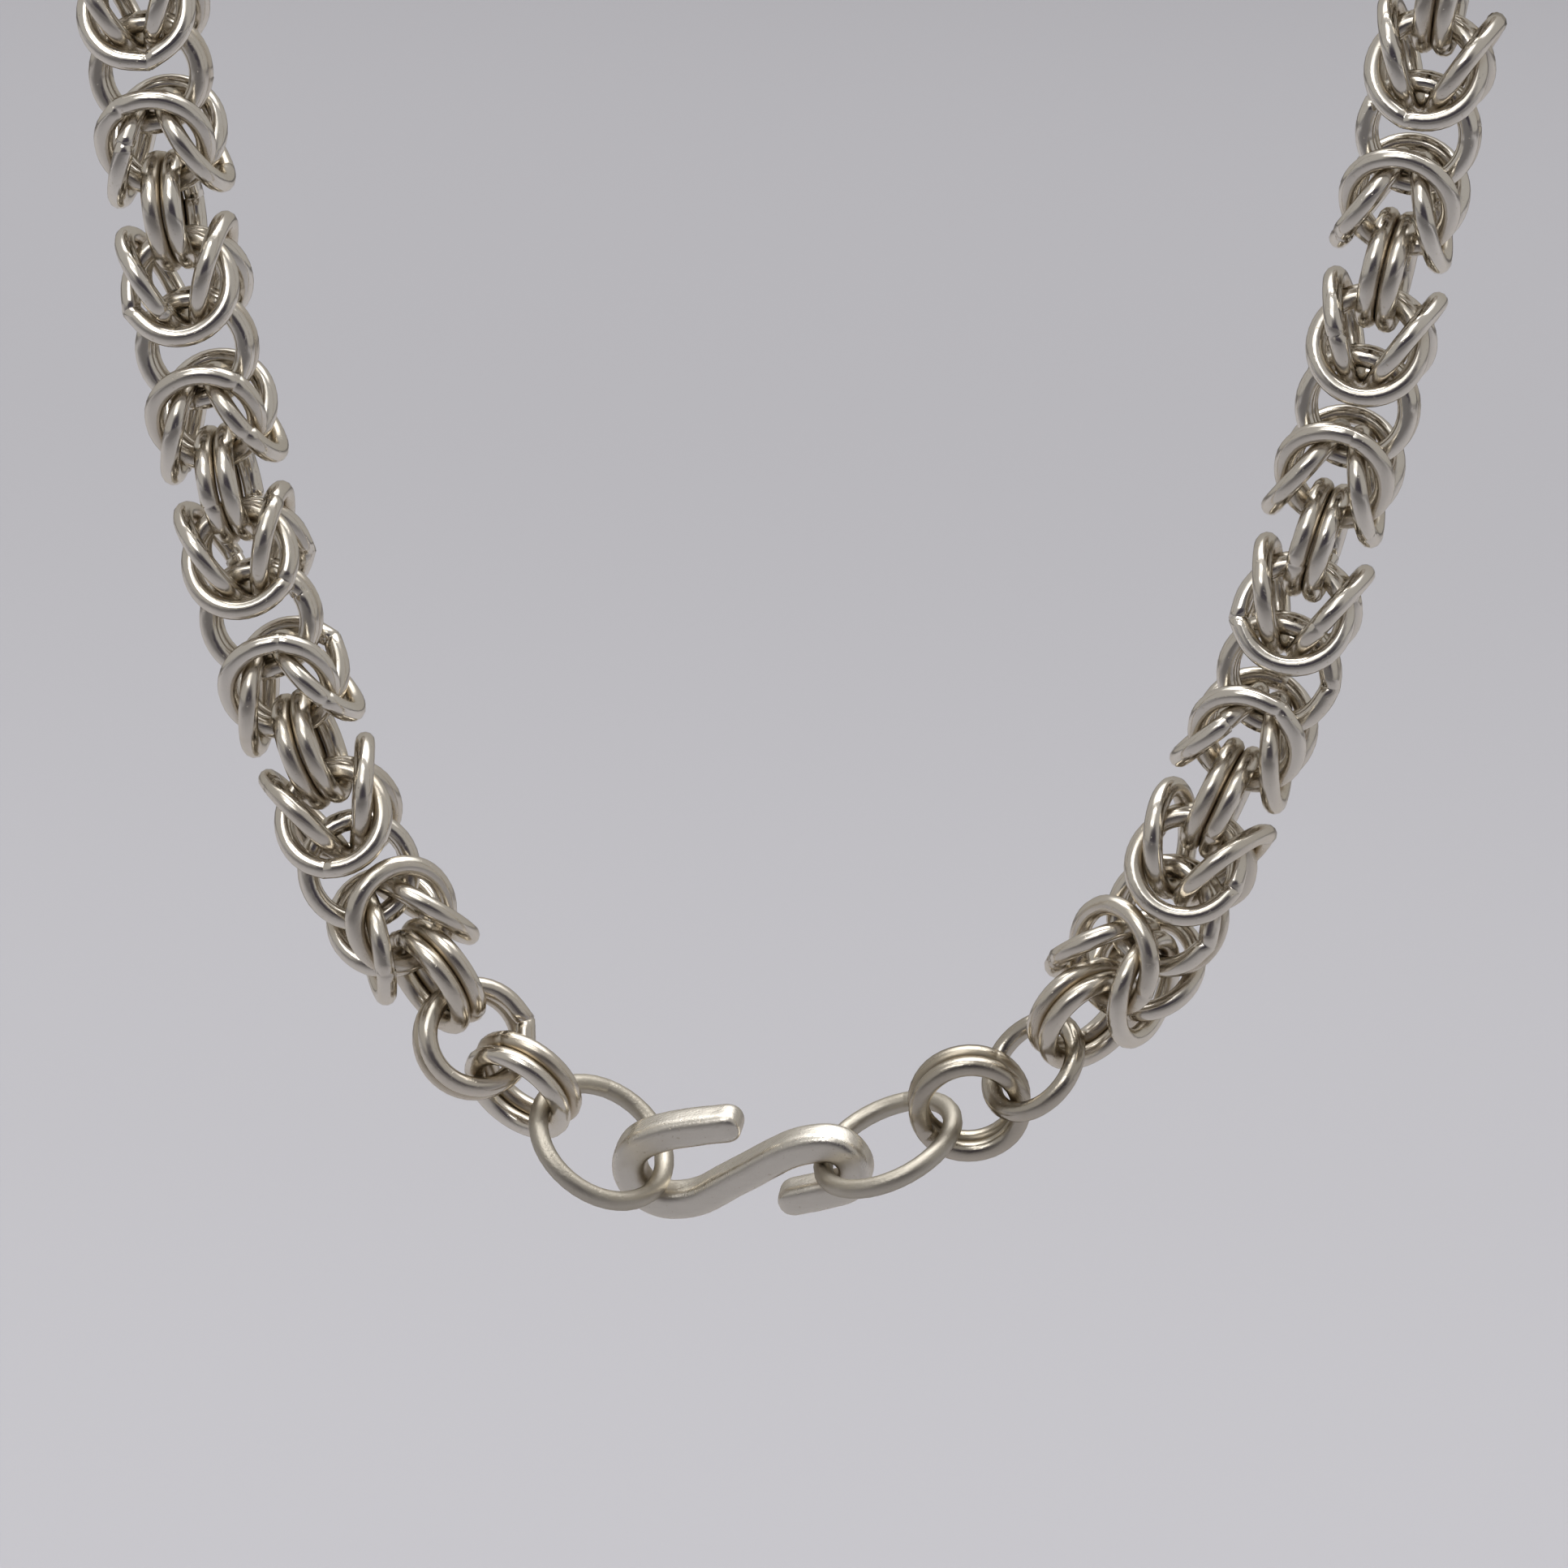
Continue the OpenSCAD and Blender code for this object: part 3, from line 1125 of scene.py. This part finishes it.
POLISHED = SilverFinish(
    "polished_silver", "polished_silver", (0.81, 0.77, 0.70, 1.0), (0.52, 0.44, 0.325, 1.0),
    rim=(0.83, 0.80, 0.74, 1.0), rough=0.075, rough_play=0.12, tarnish_and_shade=0.70, relief=0.012,
)
HANDLED = SilverFinish(
    "handled_silver", "polished_silver", (0.60, 0.56, 0.495, 1.0), (0.41, 0.35, 0.255, 1.0),
    rim=(0.65, 0.61, 0.55, 1.0), rough=0.08, rough_play=0.13, tarnish_and_shade=0.75, relief=0.014,
    grain=0.8,
)
SATIN = SilverFinish(
    "satin_silver", "satin_silver", (0.71, 0.67, 0.60, 1.0), (0.50, 0.42, 0.31, 1.0),
    rim=(0.74, 0.70, 0.64, 1.0), rough=0.16, rough_play=0.26, tarnish_and_shade=0.6, relief=0.014,
    worn_rough=0.12, grain=1.3,
)
WORN = SilverFinish(
    "worn_silver", "satin_silver", (0.56, 0.53, 0.47, 1.0), (0.43, 0.365, 0.265, 1.0),
    rim=(0.60, 0.57, 0.515, 1.0), rough=0.26, rough_play=0.16, tarnish_and_shade=0.6, relief=0.014,
    grain=1.6,
)


@dataclass(frozen=True)
class Lamp:
    """A soft lamp: its place, aim and size in metres, its watts, and its spread in degrees."""

    name: str
    at: Point
    towards: Point
    size: tuple[float, float]
    watts: float
    spread: float

    def hang(self) -> None:
        """Hangs the lamp in its place."""
        data = bpy.data.lights.new(self.name, "AREA")
        data.shape, data.energy = "RECTANGLE", self.watts
        data.size, data.size_y = self.size
        data.spread = math.radians(self.spread)
        lamp = bpy.data.objects.new(self.name, data)
        aim = Vector(self.towards) - Vector(self.at)
        turn = aim.to_track_quat("-Z", "Y").to_matrix().to_4x4()
        lamp.matrix_world = Matrix.Translation(self.at) @ turn
        bpy.context.scene.collection.objects.link(lamp)


LOOP_MIDDLE: Point = (0.0, 0.0, -0.09)
LAMPS = (
    Lamp("soft_low", (-0.30, -1.00, 0.58), LOOP_MIDDLE, (0.7, 0.12), 0.14, 60.0),
    Lamp("soft_high", (-0.12, -0.62, 1.00), LOOP_MIDDLE, (0.7, 0.14), 0.14, 60.0),
    Lamp("tent_top", (-0.20, -0.75, 0.75), LOOP_MIDDLE, (0.9, 0.55), 0.18, 60.0),
    Lamp("wide_back", (0.0, 1.05, 0.55), (0.0, 1.05, -0.3), (2.6, 2.0), 14.0, 90.0),
    Lamp("near_back", (0.0, 0.25, 0.55), (0.0, 0.25, -0.3), (1.8, 0.7), 4.6, 80.0),
    Lamp("left_side", (-2.0, -0.60, 0.55), (-2.0, -0.60, -0.3), (1.6, 2.2), 9.0, 60.0),
    Lamp("right_side", (2.0, -0.60, 0.55), (2.0, -0.60, -0.3), (1.6, 2.2), 9.0, 60.0),
)


@dataclass
class Studio:
    """The pale floor, the soft light, and the camera at the photograph's angle, in mm."""

    azimuth: float = 9.8
    elevation: float = 10.5
    distance: float = 1200.0
    roll: float = 1.36
    px_per_mm: float = 15.84
    aim: Point = (1.56, 0.0, -136.91)
    picture_px: int = 1932
    sensor: float = 36.0
    clips: tuple[float, float] = (50.0, 50000.0)
    floor_z: float = -300.0
    floor_half: float = 30000.0
    floor_tone: Colour = (0.355, 0.351, 0.375, 1.0)
    floor_rough: float = 0.9
    room_tone: Colour = (0.05, 0.045, 0.06, 1.0)
    cloth_tone: Colour = (0.43, 0.42, 0.41, 1.0)
    opening_way: Point = (0.17, -0.97, -0.17)
    opening_halves: tuple[float, float] = (50.0, 28.0)

    def camera(self) -> None:
        """Sets the camera where the photograph was taken from."""
        across, rise = self.azimuth, self.elevation
        back = Vector(
            (sin_deg(across) * cos_deg(rise), -cos_deg(across) * cos_deg(rise), sin_deg(rise))
        )
        right = Vector((0.0, 0.0, 1.0)).cross(back).normalized()
        up = back.cross(right)
        rolled = cos_deg(self.roll) * right + sin_deg(self.roll) * up
        data = bpy.data.cameras.new("camera")
        data.sensor_width = self.sensor
        data.lens = self.px_per_mm * self.distance / self.picture_px * self.sensor
        data.clip_start, data.clip_end = (clip * MM for clip in self.clips)
        camera = bpy.data.objects.new("camera", data)
        turn = Matrix((rolled, back.cross(rolled), back)).transposed().to_4x4()
        place = (Vector(self.aim) + self.distance * back) * MM
        camera.matrix_world = Matrix.Translation(place) @ turn
        bpy.context.scene.collection.objects.link(camera)
        bpy.context.scene.camera = camera

    def floor(self) -> None:
        """Lays the pale floor far below the hanging loop."""
        bm = bmesh.new()
        bmesh.ops.create_grid(bm, x_segments=1, y_segments=1, size=self.floor_half * MM)
        bmesh.ops.translate(bm, vec=(0.0, 0.0, self.floor_z * MM), verts=bm.verts[:])
        floor = piece_from(bm, "floor")
        paint = bpy.data.materials.new("pale_floor")
        paint.use_nodes = True
        shader = paint.node_tree.nodes["Principled BSDF"]
        shader.inputs["Base Color"].default_value = self.floor_tone
        shader.inputs["Roughness"].default_value = self.floor_rough
        floor.data.materials.append(paint)

    def light(self) -> None:
        """Lights the floor all round but in front, as in a tent of cloth open to the camera."""
        for lamp in LAMPS:
            lamp.hang()
        world = bpy.data.worlds.new("room")
        world.use_nodes = True
        sheet = NodeSheet(world.node_tree)
        way = sheet.add("ShaderNodeTexCoord").outputs["Generated"]
        ahead = sheet.add("ShaderNodeVectorMath", operation="DOT_PRODUCT")
        ahead.inputs[1].default_value = self.opening_way
        sheet.join(way, ahead.inputs[0])
        rim, heart = (cos_deg(half) for half in self.opening_halves)
        share = sheet.ramp(ahead.outputs["Value"], rim, heart, 0.0, 1.0)
        tone = sheet.mix(share, self.cloth_tone, self.room_tone)
        sheet.join(tone, world.node_tree.nodes["Background"].inputs["Color"])
        bpy.context.scene.world = world
        bpy.context.scene.view_settings.view_transform = "Standard"


def dress(
    piece: bpy.types.Object, paint: bpy.types.Material, node: str
) -> None:
    """Gives a piece its finish, and has it ride on the body and stand for its solid.

    Args:
        piece: the finished piece.
        paint: that finish as a material.
        node: name of the solid that it stands for.
    """
    piece.data.materials.clear()
    piece.data.materials.append(paint)
    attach(piece, BODY)
    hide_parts(node)
    log.info("%s stands for %s with %d faces", piece.name, node, len(piece.data.polygons))


def main() -> None:
    """Builds the studio and every piece of the necklace."""
    logging.basicConfig(level=logging.INFO, format="%(message)s")
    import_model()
    studio = Studio()
    studio.camera()
    studio.floor()
    studio.light()

    weave = Weave()
    links = Links(weave)
    sides = {"chain_left": weave.rings(Side.LEFT), "chain_right": weave.rings(Side.RIGHT)}
    chain_links, hook_rings = links.chain_links(), links.hook_rings()
    everyone = [ring for rings in sides.values() for ring in rings]
    everyone += [*chain_links.values(), *hook_rings.values()]

    groups = ShaderGroups()
    polished, handled, satin, worn = (
        finish.material(groups) for finish in (POLISHED, HANDLED, SATIN, WORN)
    )
    for node, rings in sides.items():
        dress(RingPiece(f"{node}_rings", rings, everyone).build(), polished, node)
    for node, ring in chain_links.items():
        duller = node.startswith("right")
        finish, paint = (HANDLED, handled) if duller else (POLISHED, polished)
        dress(RingPiece(f"{node}_ring", [ring], everyone).build(), paint, node)
    for node, ring in hook_rings.items():
        dress(RingPiece(f"{node}_wire", [ring], everyone).build(), worn, node)
    dress(SHook(links).build(), satin, "s_hook")


if __name__ == "__main__":
    main()
